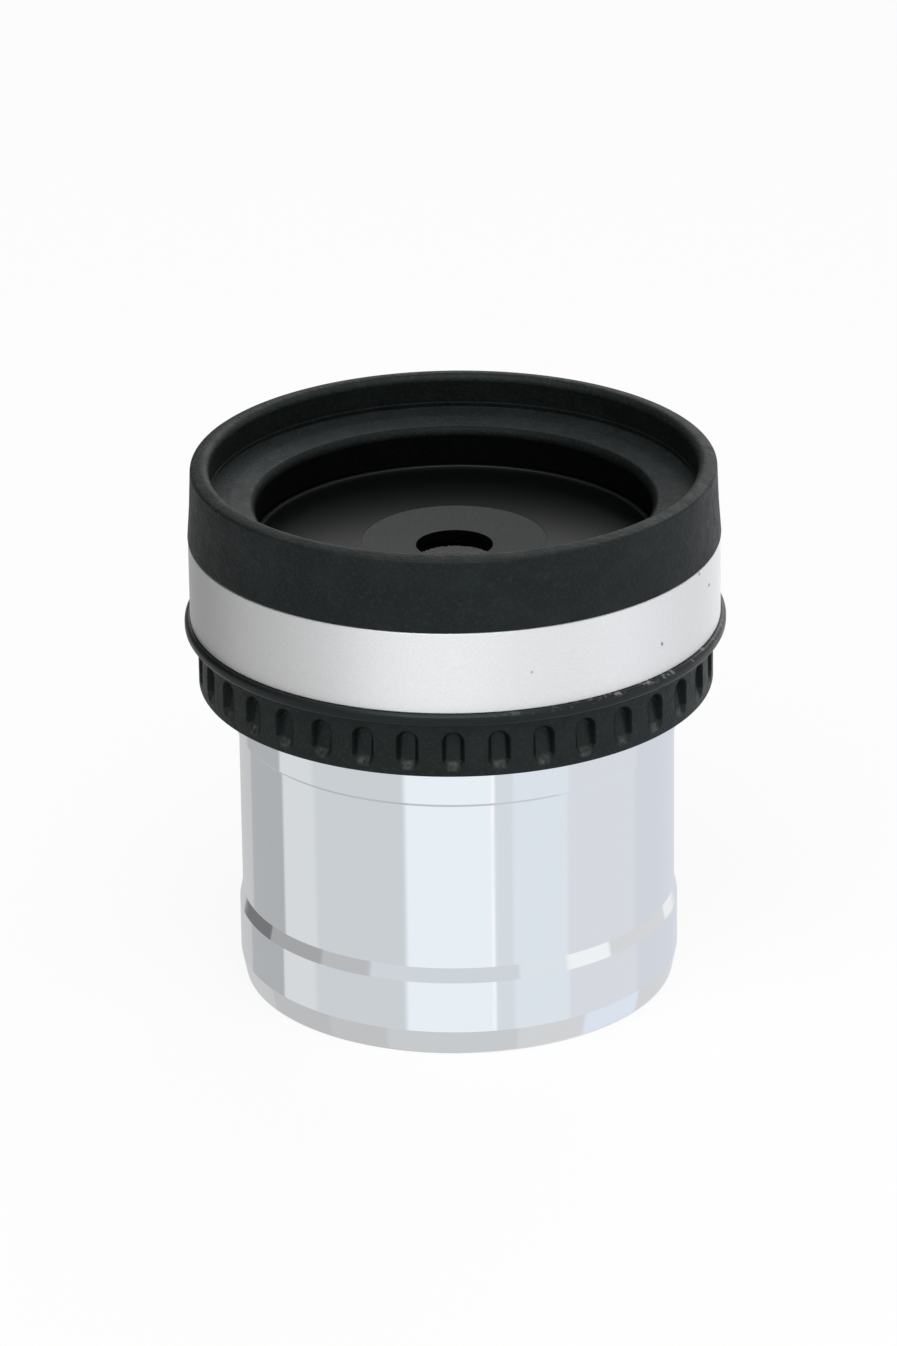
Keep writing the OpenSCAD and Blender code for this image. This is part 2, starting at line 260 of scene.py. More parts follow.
class Bench:
    """Turns finished meshes into pieces of the eyepiece."""

    @staticmethod
    def paint(bm: bmesh.types.BMesh, index: int, test: Callable[[float, float], bool]) -> None:
        """Gives a finish to the faces whose middle passes a test.

        Args:
            bm: Mesh to paint.
            index: Place of the finish in the piece's list.
            test: Says from a radius and a height whether a face takes the finish.
        """
        for face in bm.faces:
            middle = face.calc_center_median()
            if test(math.hypot(middle.x, middle.y), middle.z):
                face.material_index = index

    @staticmethod
    def close(bm: bmesh.types.BMesh) -> None:
        """Welds a mesh's seams and points its faces outwards."""
        bmesh.ops.remove_doubles(bm, verts=bm.verts[:], dist=WELD)
        bmesh.ops.recalc_face_normals(bm, faces=bm.faces[:])

    @staticmethod
    def piece(
        bm: bmesh.types.BMesh,
        name: str,
        node: str,
        body: Body,
        slot: Slot,
        finishes: Sequence[bpy.types.Material],
    ) -> bpy.types.Object:
        """Makes an object of a mesh that stands for a frame node.

        Args:
            bm: Closed mesh in millimetres, which is freed.
            name: Name of the piece.
            node: Frame node that the piece stands for.
            body: Body that the piece rides on.
            slot: Material slot of the record; not used.
            finishes: Materials in the order of the faces' finish numbers.

        Returns:
            The new object.
        """
        bm.transform(Matrix.Scale(MM, 4))
        for face in bm.faces:
            face.smooth = True
        mesh = bpy.data.meshes.new(name)
        bm.to_mesh(mesh)
        bm.free()
        mesh.set_sharp_from_angle(angle=SHARP_ANGLE)
        for finish in finishes:
            mesh.materials.append(finish)
        piece = bpy.data.objects.new(name, mesh)
        bpy.context.scene.collection.objects.link(piece)
        even = piece.modifiers.new("even_shading", "WEIGHTED_NORMAL")
        even.keep_sharp = True
        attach(piece, body.value)
        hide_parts(node)
        LOG.info("%s: %d faces, rides on %s", name, len(mesh.polygons), body.value)
        return piece

    @staticmethod
    def dress(node: bpy.types.Object, finish: bpy.types.Material) -> None:
        """Gives a frame node that stays in sight its finish.

        Args:
            node: Object of the frame node.
            finish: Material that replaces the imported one.
        """
        node.data.materials.clear()
        node.data.materials.append(finish)
        LOG.info("%s: frame node in %s", node.name, finish.name)


class Shader:
    """One procedural material on Object coordinates, with short calls for the nodes that finishes share."""

    def __init__(self, name: str) -> None:
        """Starts a material with a Principled surface.

        Args:
            name: Name of the material.
        """
        self.material = bpy.data.materials.new(name)
        self.material.use_nodes = True
        self.tree = self.material.node_tree
        self.tree.nodes.clear()
        self.surface = self.node("ShaderNodeBsdfPrincipled")
        output = self.node("ShaderNodeOutputMaterial")
        self.join(self.surface.outputs["BSDF"], output.inputs["Surface"])
        self.place = self.node("ShaderNodeTexCoord").outputs["Object"]
        self.axes = self.node("ShaderNodeSeparateXYZ")
        self.join(self.place, self.axes.inputs["Vector"])

    def node(self, kind: str) -> bpy.types.Node:
        """Adds a node of a kind."""
        return self.tree.nodes.new(kind)

    def join(self, source: bpy.types.NodeSocket, target: bpy.types.NodeSocket) -> None:
        """Links an output to an input."""
        self.tree.links.new(source, target)

    def feed(
        self,
        value: "bpy.types.NodeSocket | float | tuple[float, ...]",
        target: bpy.types.NodeSocket,
    ) -> None:
        """Links a socket to an input, or sets a plain value on it.

        Args:
            value: Output of another node, or a plain number or colour.
            target: Input that takes it.
        """
        if isinstance(value, bpy.types.NodeSocket):
            self.join(value, target)
        else:
            target.default_value = value

    def maths(self, kind: str, *values: "bpy.types.NodeSocket | float") -> bpy.types.NodeSocket:
        """Adds a Math node.

        Args:
            kind: Operation of the node.
            values: Its inputs in order.

        Returns:
            The node's output.
        """
        node = self.node("ShaderNodeMath")
        node.operation = kind
        for index, value in enumerate(values):
            self.feed(value, node.inputs[index])
        return node.outputs["Value"]

    def radius(self) -> bpy.types.NodeSocket:
        """Works out the distance from the optical axis.

        Returns:
            The distance in metres.
        """
        x, y = self.axes.outputs["X"], self.axes.outputs["Y"]
        squares = self.maths("ADD", self.maths("MULTIPLY", x, x), self.maths("MULTIPLY", y, y))
        return self.maths("SQRT", squares)

    def azimuth(self) -> bpy.types.NodeSocket:
        """Angle round the optical axis from the camera's side, + to the right."""
        front = self.maths("MULTIPLY", self.axes.outputs["Y"], -1.0)
        return self.maths("ARCTAN2", self.axes.outputs["X"], front)

    def grain(self, size: float, detail: float = 2.0) -> bpy.types.NodeSocket:
        """Even noise through the solid.

        Args:
            size: Size of its grains in millimetres.
            detail: Octaves of finer noise.

        Returns:
            Noise from 0 to 1.
        """
        node = self.node("ShaderNodeTexNoise")
        node.inputs["Scale"].default_value = 1 / (size * MM)
        node.inputs["Detail"].default_value = detail
        self.join(self.place, node.inputs["Vector"])
        return node.outputs["Fac"]

    def lines(self, along: bpy.types.NodeSocket, size: float, detail: float = 3.0) -> bpy.types.NodeSocket:
        """Uneven tool lines across a direction.

        Args:
            along: Coordinate that the lines are set along.
            size: Mean spacing of the lines in millimetres.
            detail: Octaves of finer lines.

        Returns:
            Noise from 0 to 1.
        """
        node = self.node("ShaderNodeTexNoise")
        node.noise_dimensions = "1D"
        node.inputs["Scale"].default_value = 1 / (size * MM)
        node.inputs["Detail"].default_value = detail
        self.join(along, node.inputs["W"])
        return node.outputs["Fac"]

    def range(
        self,
        value: bpy.types.NodeSocket,
        start: float,
        end: float,
        low: float = 0.0,
        high: float = 1.0,
    ) -> bpy.types.NodeSocket:
        """Maps a value from one range to another and holds it there.

        Args:
            value: Value to map.
            start: Value that becomes low.
            end: Value that becomes high.
            low: Result at start.
            high: Result at end.

        Returns:
            The mapped value.
        """
        node = self.node("ShaderNodeMapRange")
        self.join(value, node.inputs["Value"])
        for name, number in (("From Min", start), ("From Max", end), ("To Min", low), ("To Max", high)):
            node.inputs[name].default_value = number
        return node.outputs["Result"]

    def blend(
        self,
        share: bpy.types.NodeSocket,
        first: "bpy.types.NodeSocket | tuple[float, ...]",
        second: tuple[float, ...],
    ) -> bpy.types.NodeSocket:
        """Blends two colours.

        Args:
            share: Share of the second colour.
            first: First colour, plain or from another node.
            second: Second colour.

        Returns:
            The blended colour.
        """
        node = self.node("ShaderNodeMix")
        node.data_type = "RGBA"
        self.join(share, node.inputs["Factor"])
        self.feed((*first, 1) if isinstance(first, tuple) else first, node.inputs["A"])
        self.feed((*second, 1), node.inputs["B"])
        return node.outputs["Result"]

    def relief(self, height: bpy.types.NodeSocket, depth: float) -> None:
        """Raises the surface by a height map.

        Args:
            height: Height from 0 to 1.
            depth: Depth of the relief in millimetres.
        """
        node = self.node("ShaderNodeBump")
        node.inputs["Distance"].default_value = depth * MM
        self.join(height, node.inputs["Height"])
        self.join(node.outputs["Normal"], self.surface.inputs["Normal"])

    def set(self, **values: "bpy.types.NodeSocket | float | tuple[float, ...]") -> None:
        """Sets the surface's inputs.

        Args:
            values: Sockets, numbers or colours by the inputs' names in lower case with underscores.
        """
        inputs = {i.name.lower().replace(" ", "_"): i for i in self.surface.inputs}
        for name, value in values.items():
            if isinstance(value, tuple):
                value = (*value, 1)
            self.feed(value, inputs[name])


@dataclass(frozen=True)
class PolishedChrome:
    """Bright plating over a turned barrel, with faint smears and tool lines."""

    colour: tuple[float, float, float] = (0.86, 0.88, 0.9)
    roughness: tuple[float, float] = (0.035, 0.075)
    smear: float = 5.0
    tool_line: float = 0.12
    relief: float = 0.00012

    def material(self) -> bpy.types.Material:
        """Builds the finish.

        Returns:
            The material.
        """
        s = Shader("polished_chrome")
        s.set(base_color=self.colour, metallic=1.0)
        s.set(roughness=s.range(s.grain(self.smear, detail=4.0), *NOISE_SPREAD, *self.roughness))
        s.relief(s.lines(s.axes.outputs["Z"], self.tool_line), self.relief)
        return s.material


@dataclass(frozen=True)
class RibbedBlack:
    """Dead black of the bore, cut with fine rings that stop stray light."""

    colour: tuple[float, float, float] = (0.032, 0.032, 0.034)
    roughness: float = 0.5
    specular: float = 0.4
    ring: float = 0.35
    relief: float = 0.06

    def material(self) -> bpy.types.Material:
        """Builds the finish.

        Returns:
            The material.
        """
        s = Shader("ribbed_black")
        s.set(base_color=self.colour, roughness=self.roughness, specular_ior_level=self.specular)
        wave = s.maths("SINE", s.maths("MULTIPLY", s.axes.outputs["Z"], FULL_TURN / (self.ring * MM)))
        s.relief(s.range(wave, -1.0, 1.0), self.relief)
        return s.material


@dataclass(frozen=True)
class SatinBlack:
    """Black anodising with a soft gloss, scuffed along the edge beside the silver band."""

    edge: float
    colour: tuple[float, float, float] = (0.004, 0.0048, 0.0047)
    scuffed: tuple[float, float, float] = (0.16, 0.165, 0.16)
    sheen: tuple[float, float, float] = (0.84, 1.0, 0.98)
    specular: float = 0.32
    roughness: tuple[float, float] = (0.28, 0.38)
    cloud: float = 1.6
    scuff: float = 0.5
    scuff_height: tuple[float, float] = (-0.3, -0.02)
    scuff_end: tuple[float, float] = (0.2, 0.1)
    scuff_right: tuple[float, float] = (1.0, 12.0)
    scuff_front: tuple[float, float] = (0.0, -8.0)
    scuff_spread: tuple[float, float] = (0.54, 0.64)
    grain: float = 0.09
    relief: float = 0.0012

    def material(self) -> bpy.types.Material:
        """Builds the finish.

        Returns:
            The material.
        """
        s = Shader("satin_black")
        lower = s.range(s.axes.outputs["Z"], *((self.edge + h) * MM for h in self.scuff_height))
        upper = s.range(s.axes.outputs["Z"], *((self.edge + h) * MM for h in self.scuff_end))
        near = s.maths("MULTIPLY", lower, upper)
        right = s.range(s.axes.outputs["X"], *(x * MM for x in self.scuff_right))
        front = s.range(s.axes.outputs["Y"], *(y * MM for y in self.scuff_front))
        worn = s.range(s.grain(self.scuff, detail=5.0), *self.scuff_spread)
        share = s.maths("MULTIPLY", s.maths("MULTIPLY", near, worn), s.maths("MULTIPLY", right, front))
        s.set(base_color=s.blend(share, self.colour, self.scuffed))
        s.set(specular_ior_level=self.specular, specular_tint=self.sheen)
        s.set(roughness=s.range(s.grain(self.cloud, detail=3.0), *NOISE_SPREAD, *self.roughness))
        s.relief(s.grain(self.grain), self.relief)
        return s.material


@dataclass(frozen=True)
class MouldedRubber:
    """Black rubber as it comes from its mould, with a fine grain and a little bloom."""

    name: str
    base: tuple[float, float, float]
    bloom: tuple[float, float, float]
    roughness: tuple[float, float]
    specular: float
    sheen: tuple[float, float, float] = (0.84, 1.0, 0.98)
    bloom_size: float = 2.4
    bloom_spread: tuple[float, float] = (0.42, 0.75)
    fleck: float = 1.8
    fleck_size: float = 0.24
    fleck_spread: tuple[float, float] = (0.5, 0.8)
    rub: float = 0.9
    grain: float = 0.28
    relief: float = 0.05

    def colour(self, s: Shader) -> bpy.types.NodeSocket:
        """Clouds the base colour with bloom, and flecks it.

        Args:
            s: Material that takes the colour.

        Returns:
            The colour.
        """
        bloomed = s.range(s.grain(self.bloom_size, detail=5.0), *self.bloom_spread)
        cloud = s.blend(bloomed, self.base, self.bloom)
        flecked = tuple(self.fleck * c for c in self.bloom)
        return s.blend(s.range(s.grain(self.fleck_size, detail=3.0), *self.fleck_spread), cloud, flecked)

    def material(self) -> bpy.types.Material:
        """Builds the finish.

        Returns:
            The material.
        """
        s = Shader(self.name)
        s.set(base_color=self.colour(s), specular_ior_level=self.specular, specular_tint=self.sheen)
        s.set(roughness=s.range(s.grain(self.rub, detail=3.0), *NOISE_SPREAD, *self.roughness))
        s.relief(s.grain(self.grain, detail=3.0), self.relief)
        return s.material


@dataclass(frozen=True)
class HighlitRubber(MouldedRubber):
    """Moulded rubber of a row of pockets, with a painted highlight, a pale patch, on the foot of each
    pocket where its ramp faces up.
    """

    pockets: int = 36
    phase: float = 0.0
    foot_highlight: tuple[float, float, float] = (0.06, 0.066, 0.06)
    dust_low: float = 0.0
    dust_high: float = 1.0
    highlight_fade: float = 0.2
    dust_size: float = 0.45
    highlight_spread: tuple[float, float] = (0.35, 0.65)
    highlight_width: tuple[float, float] = (0.55, 0.95)

    def colour(self, s: Shader) -> bpy.types.NodeSocket:
        """Lays the painted highlight over the bloom.

        Args:
            s: Material that takes the colour.

        Returns:
            The colour.
        """
        z = s.axes.outputs["Z"]
        above = s.range(z, self.dust_low * MM, (self.dust_low + self.highlight_fade) * MM)
        below = s.range(z, self.dust_high * MM, (self.dust_high - self.highlight_fade) * MM)
        turn = s.maths("MULTIPLY", s.maths("SUBTRACT", s.azimuth(), math.radians(self.phase)), self.pockets)
        middle = s.range(s.maths("COSINE", turn), *self.highlight_width)
        cloud = s.range(s.grain(self.dust_size, detail=4.0), *self.highlight_spread)
        share = s.maths("MULTIPLY", s.maths("MULTIPLY", above, below), s.maths("MULTIPLY", middle, cloud))
        # Pale colour on each pocket's foot: a painted highlight.
        return s.blend(share, super().colour(s), self.foot_highlight)


@dataclass(frozen=True)
class SatinAluminium:
    """Aluminium brushed round the ring, with a few dark specks on one side."""

    colour: tuple[float, float, float] = (0.97, 0.97, 0.975)
    dulled: float = 0.93
    speck: tuple[float, float, float] = (0.42, 0.42, 0.42)
    metallic: float = 1.0
    roughness: tuple[float, float] = (0.48, 0.55)
    stretch: float = 0.75
    stretch_turn: float = 0.25
    speck_size: float = 0.7
    speck_spread: tuple[float, float] = (0.84, 0.86)
    speck_side: tuple[float, float] = (4.0, 6.0)
    grit: float = 0.12
    cloud: float = 0.25
    grain: float = 0.06
    relief: float = 0.0035

    def material(self) -> bpy.types.Material:
        """Builds the finish.

        Returns:
            The material.
        """
        s = Shader("satin_aluminium")
        side = s.range(s.axes.outputs["X"], *(x * MM for x in self.speck_side))
        specked = s.range(s.grain(self.speck_size, detail=0.0), *self.speck_spread)
        specks = s.maths("MULTIPLY", side, specked)
        dull = tuple(self.dulled * c for c in self.colour)
        gritty = s.blend(s.range(s.grain(self.grit), *NOISE_SPREAD), self.colour, dull)
        s.set(base_color=s.blend(specks, gritty, self.speck), metallic=self.metallic)
        s.set(anisotropic=self.stretch, anisotropic_rotation=self.stretch_turn)
        s.set(roughness=s.range(s.grain(self.cloud), *NOISE_SPREAD, *self.roughness))
        s.relief(s.grain(self.grain), self.relief)
        return s.material


@dataclass(frozen=True)
class TurnedBlack:
    """Matte black metal that shows the rings of the tool that faced it."""

    name: str
    colour: tuple[float, float, float]
    roughness: float
    specular: float
    ring: float = 0.11
    relief: float = 0.0016
    paler: float = 1.5
    mottle: float = 0.16
    mottle_spread: tuple[float, float] = (0.45, 0.8)

    def material(self) -> bpy.types.Material:
        """Builds the finish.

        Returns:
            The material.
        """
        s = Shader(self.name)
        pale = tuple(self.paler * c for c in self.colour)
        mottled = s.range(s.grain(self.mottle, detail=3.0), *self.mottle_spread)
        s.set(base_color=s.blend(mottled, self.colour, pale))
        s.set(roughness=self.roughness, specular_ior_level=self.specular)
        s.relief(s.lines(s.radius(), self.ring), self.relief)
        return s.material


@dataclass(frozen=True)
class LensGlass:
    """Optical glass whose sheen lies in its coating, so that the cemented faces inside stay clear."""

    name: str
    tint: tuple[float, float, float]
    coating: float
    coating_index: float = 1.6
    haze: float = 0.02
    index: float = 1.03

    def material(self) -> bpy.types.Material:
        """Builds the finish.

        Returns:
            The material.
        """
        s = Shader(self.name)
        s.set(base_color=self.tint, ior=self.index, transmission_weight=1.0, roughness=0.0)
        s.set(coat_weight=self.coating, coat_ior=self.coating_index, coat_roughness=self.haze)
        return s.material


@dataclass
class Barrel:
    """Chromed push-fit barrel and the glare ring that floats above it."""

    wall: float = 2.05
    lead_in_length: float = 1.9
    lead_in_depth: float = 0.38
    lower_land: float = 3.83
    undercut_ramp: float = 1.07
    undercut_depth: float = 0.22
    upper_land: float = 3.25
    edge: float = 0.05
    end_edge: float = 0.25
    filter_wall: float = 1.6
    filter_length: float = 3.6
    filter_chamfer: float = 0.4
    filter_pitch: float = 0.6
    filter_depth: float = 0.3
    shoulder: float = 0.95
    spigot_pitch: float = 0.75
    spigot_depth: float = 0.35
    root: float = 0.04
    baffle_hole_r: float = 6.6

    def __post_init__(self) -> None:
        """Reads the places that the frame gives."""
        self.extent = Extent.of("nosepiece")
        self.shoulder_z = Extent.of("grip_ring").low

    def shell(self) -> bmesh.types.BMesh:
        """Turns the barrel and cuts its two threads.

        Returns:
            The barrel, with its blackened inside as finish 1.
        """
        r, top, shoulder = self.extent.r, self.extent.high, self.shoulder_z
        bore, mouth = r - self.wall, r - self.filter_wall
        cut, spigot = r - self.undercut_depth, r - self.shoulder
        core = spigot - self.spigot_depth
        land_top = self.lead_in_length + self.lower_land
        upper = shoulder - self.upper_land
        bm = Lathe.turned([
            Corner(mouth + self.filter_chamfer, 0, self.edge),
            Corner(r - self.lead_in_depth, 0, self.end_edge),
            Corner(r, self.lead_in_length, self.edge),
            Corner(r, land_top, self.edge),
            Corner(cut, land_top + self.undercut_ramp, self.edge),
            Corner(cut, upper - self.undercut_depth, self.edge),
            Corner(r, upper, self.edge),
            Corner(r, shoulder, self.edge),
            Corner(core, shoulder),
            Corner(core, top, self.edge),
            Corner(bore, top),
            Corner(bore, self.filter_length),
            Corner(mouth, self.filter_length),
            Corner(mouth, self.filter_chamfer),
        ])
        filter_crest = mouth - self.filter_depth
        Lathe.cut_thread(bm, Helix(
            mouth + self.root, filter_crest, self.filter_chamfer, self.filter_length, self.filter_pitch,
        ))
        Lathe.cut_thread(bm, Helix(
            core - self.root, spigot, shoulder + self.root, top, self.spigot_pitch,
        ))
        Bench.close(bm)
        inside = min(mouth + self.root, core - self.edge)
        Bench.paint(bm, 1, lambda rad, z: rad < inside and z > self.filter_chamfer / 2)
        return bm

    def baffle(self) -> bmesh.types.BMesh:
        """Turns the glare ring.

        Returns:
            The ring.
        """
        ring = Extent.of("glare_baffle")
        bm = Lathe.turned([
            Corner(self.baffle_hole_r, ring.low),
            Corner(ring.r, ring.low, self.edge),
            Corner(ring.r, ring.high, self.edge),
            Corner(self.baffle_hole_r, ring.high),
        ])
        Bench.close(bm)
        return bm

    def build(self) -> None:
        """Makes and dresses the barrel's pieces."""
        chrome, black = PolishedChrome().material(), RibbedBlack().material()
        Bench.piece(self.shell(), "barrel_shell", "nosepiece", Body.BARREL, Slot.CHROME, [chrome, black])
        Bench.piece(self.baffle(), "glare_ring", "glare_baffle", Body.BAFFLE, Slot.BLACKENED, [black])


@dataclass(frozen=True)
class WallStep:
    """One step down a pocket's rounded wall: how far in it runs and how far it drops."""

    run: float
    drop: float


@dataclass
class GripRing:
    """Rubber grip with a row of arch-topped pockets that ramp out at the foot."""

    wall: float = 1.15
    edge: float = 0.22
    foot_edge: float = 0.1
    bore_edge: float = 0.05
    pockets: int = 36
    columns: int = 8
    rows: int = 8
    pocket_width: float = 1.62
    arch: float = 0.98
    arch_steps: int = 8
    pocket_height: float = 3.0
    pocket_foot: float = 0.38
    pocket_ramp: float = 1.25
    # Height of the painted highlight above each pocket's foot.
    highlight_height: float = 0.8
    shade_height: float = 0.9
    phase: float = -0.8
    strip: float = 0.06
    steps: tuple[WallStep, ...] = (
        WallStep(0.04, 0.015),
        WallStep(0.05, 0.07),
        WallStep(0.06, 0.15),
        WallStep(0.06, 0.17),
        WallStep(0.06, 0.11),
        WallStep(0.06, 0.04),
    )

    def __post_init__(self) -> None:
        """Reads the place that the frame gives."""
        self.extent = Extent.of("grip_ring")

    def panel(self) -> bmesh.types.BMesh:
        """Models one pocket and the wall round it, laid flat with X along the ring and Y as depth.

        Returns:
            The panel, with the shaded upper sides of the pocket as finish 1.
        """
        bm = bmesh.new()
        foot = self.extent.low + self.pocket_foot
        half = self.pocket_width / 2
        mouth = [
            bm.verts.new((x, 0, z))
            for x, z in (
                (-half, foot),
                (half, foot),
                (half, foot + self.pocket_height),
                (-half, foot + self.pocket_height),
            )
        ]
        bm.faces.new(mouth)
        bmesh.ops.bevel(
            bm, geom=mouth, offset=half * self.arch, offset_type="OFFSET", affect="VERTICES",
            segments=self.arch_steps, profile=0.5, material=-1,
        )
        floor = bm.faces[:][0]
        rim = floor.edges[:]
        for step in self.steps:
            sides = bmesh.ops.inset_region(
                bm, faces=[floor], thickness=step.run, depth=-step.drop,
                use_even_offset=True, use_boundary=True,
            )
            for face in sides["faces"]:
                face.material_index = int(face.calc_center_median().z > foot + self.shade_height)
        bmesh.ops.triangulate(bm, faces=[floor])
        width = FULL_TURN * self.extent.r / self.pockets / 2
        low = self.extent.low + self.foot_edge + self.strip
        high = self.extent.high - self.edge - self.strip
        corners = ((-width, low), (width, low), (width, high), (-width, high))
        frame = [bm.verts.new((x, 0, z)) for x, z in corners]
        outline = [bm.edges.new((a, b)) for a, b in zip(frame, frame[1:] + frame[:1])]
        for pair, cuts in ((outline[0::2], self.columns - 1), (outline[1::2], self.rows - 1)):
            cut = bmesh.ops.subdivide_edges(bm, edges=pair, cuts=cuts)
            rim += [e for e in cut["geom"] if isinstance(e, bmesh.types.BMEdge)]
        wall = bmesh.ops.bridge_loops(bm, edges=list(set(rim)))
        for face in wall["faces"]:
            face.material_index = 0
        return bm

    def wrap(self, bm: bmesh.types.BMesh) -> None:
        """Runs the pocket out at its foot and bends the flat panel round the ring.

        Args:
            bm: Panel to bend.
        """
        foot = self.extent.low + self.pocket_foot
        for vert in bm.verts:
            share = min(1.0, max(0.0, (vert.co.z - foot) / self.pocket_ramp))
            radius = self.extent.r - vert.co.y * share
            angle = vert.co.x / self.extent.r
            vert.co = (radius * math.sin(angle), -radius * math.cos(angle), vert.co.z)

    def ring(self) -> bmesh.types.BMesh:
        """Repeats the panel round the ring and closes it with the turned edges and bore.

        Returns:
            The whole ring, with the shaded sides of its pockets as finish 1.
        """
        bm = self.panel()
        self.wrap(bm)
        bmesh.ops.spin(
            bm, geom=bm.verts[:] + bm.edges[:] + bm.faces[:], cent=(0, 0, 0), axis=(0, 0, 1),
            angle=FULL_TURN * (self.pockets - 1) / self.pockets, steps=self.pockets - 1, use_duplicate=True,
        )
        r, low, high = self.extent.r, self.extent.low, self.extent.high
        bore = r - self.wall
        rest = bmesh.new()
        Lathe.chain(rest, [
            Corner(r, high - self.edge - self.strip),
            Corner(r, high, self.edge),
            Corner(bore, high, self.bore_edge),
            Corner(bore, low, self.bore_edge),
            Corner(r, low, self.foot_edge),
            Corner(r, low + self.foot_edge + self.strip),
        ], closed=False)
        Lathe.spin(rest, self.pockets * self.columns)
        spare = bpy.data.meshes.new("grip_edges")
        rest.to_mesh(spare)
        rest.free()
        bm.from_mesh(spare)
        bpy.data.meshes.remove(spare)
        Bench.close(bm)
        bm.transform(Matrix.Rotation(math.radians(self.phase), 4, "Z"))
        return bm

    def build(self) -> None:
        """Makes and dresses the grip ring."""
        foot = self.extent.low + self.pocket_foot
        # The grip's rubber carries painted highlights on the pockets' feet.
        rubber = HighlitRubber(
            "grip_rubber_finish",
            base=(0.0045, 0.006, 0.0055),
            bloom=(0.009, 0.0105, 0.01),
            roughness=(0.42, 0.55),
            specular=0.26,
            pockets=self.pockets,
            phase=self.phase,
            dust_low=foot,
            dust_high=foot + self.highlight_height,
        ).material()
        shade = MouldedRubber(
            "pocket_shade",
            base=(0.0026, 0.0034, 0.0032),
            bloom=(0.004, 0.005, 0.0048),
            roughness=(0.5, 0.6),
            specular=0.16,
        ).material()
        Bench.piece(self.ring(), "grip_pocket_ring", "grip_ring", Body.HOUSING, Slot.GRIP, [rubber, shade])


@dataclass
class Housing:
    """Black turned body with the lip, and the silver band that covers it."""

    skirt_wall: float = 2.25
    thread_depth: float = 0.35
    thread_pitch: float = 0.75
    thread_length: float = 3.5
    step_height: float = 4.0
    root: float = 0.04
    lip_edge: float = 0.3
    edge: float = 0.08
    body_gap: float = 0.05
    band_wall: float = 0.97
    band_chamfer: float = 0.07
    band_edge: float = 0.02
    collar_inset: float = 0.42
    plate_gap: float = 0.05
    plate_thickness: float = 2.0
    ledge: float = 0.9
    flange_thickness: float = 1.2
    floor_thickness: float = 1.1
    cell_hole_r: float = 6.35
    bore_r: float = 13.8

    def __post_init__(self) -> None:
        """Reads the places that the frame gives."""
        self.extent = Extent.of("housing")
        self.grip = Extent.of("grip_ring")
        self.band = Extent.of("silver_band")
        self.plate = Extent.of("eye_plate")

    def body(self) -> bmesh.types.BMesh:
        """Turns the housing and cuts the thread for the barrel.

        Returns:
            The housing, with its inside as finish 1.
        """
        low, lip, band, cup = self.extent.low, self.grip.high, self.band.low, self.band.high
        body_r = self.band.r - self.band_wall - self.body_gap
        skirt_r = self.grip.r - GripRing.wall - self.body_gap
        thread_r = skirt_r - self.skirt_wall
        root_r = thread_r + self.thread_depth
        seat_r = self.plate.r + self.plate_gap
        floor = self.plate.low - self.flange_thickness
        ledge = self.plate.high - self.plate_thickness
        bm = Lathe.turned([
            Corner(root_r, low),
            Corner(skirt_r, low, self.edge),
            Corner(skirt_r, lip),
            Corner(self.extent.r, lip, self.lip_edge),
            Corner(self.extent.r, band, self.lip_edge),
            Corner(body_r, band),
            Corner(body_r, cup, self.edge),
            Corner(body_r - self.collar_inset, cup),
            Corner(body_r - self.collar_inset, self.extent.high, self.edge),
            Corner(seat_r, self.extent.high, self.edge),
            Corner(seat_r, ledge),
            Corner(self.plate.r - self.ledge, ledge),
            Corner(self.plate.r - self.ledge, floor),
            Corner(self.cell_hole_r, floor),
            Corner(self.cell_hole_r, floor - self.floor_thickness),
            Corner(self.bore_r, floor - self.floor_thickness),
            Corner(self.bore_r, low + self.step_height),
            Corner(thread_r, low + self.step_height),
            Corner(thread_r, low + self.thread_length),
            Corner(root_r, low + self.thread_length),
        ])
        Lathe.cut_thread(bm, Helix(
            root_r + self.root, thread_r, low, low + self.thread_length, self.thread_pitch,
        ))
        Bench.close(bm)
        Bench.paint(bm, 1, lambda rad, z: rad < root_r + self.root and z < ledge)
        return bm

    def sleeve(self) -> bmesh.types.BMesh:
        """Turns the silver band.

        Returns:
            The band.
        """
        r, low, high = self.band.r, self.band.low, self.band.high
        bore, cut = r - self.band_wall, self.band_chamfer
        bm = Lathe.turned([
            Corner(bore, low),
            Corner(r - cut, low, self.band_edge),
            Corner(r, low + cut, self.band_edge),
            Corner(r, high - cut, self.band_edge),
            Corner(r - cut, high, self.band_edge),
            Corner(bore, high),
        ])
        Bench.close(bm)
        return bm

    def build(self) -> None:
        """Makes and dresses the housing and its band."""
        satin = SatinBlack(self.band.low).material()
        inside = TurnedBlack(
            "housing_inside", colour=(0.01, 0.01, 0.011), roughness=0.7, specular=0.3
        ).material()
        silver = SatinAluminium().material()
        Bench.piece(self.body(), "housing_body", "housing", Body.HOUSING, Slot.HOUSING, [satin, inside])
        Bench.piece(self.sleeve(), "silver_sleeve", "silver_band", Body.HOUSING, Slot.BAND, [silver])


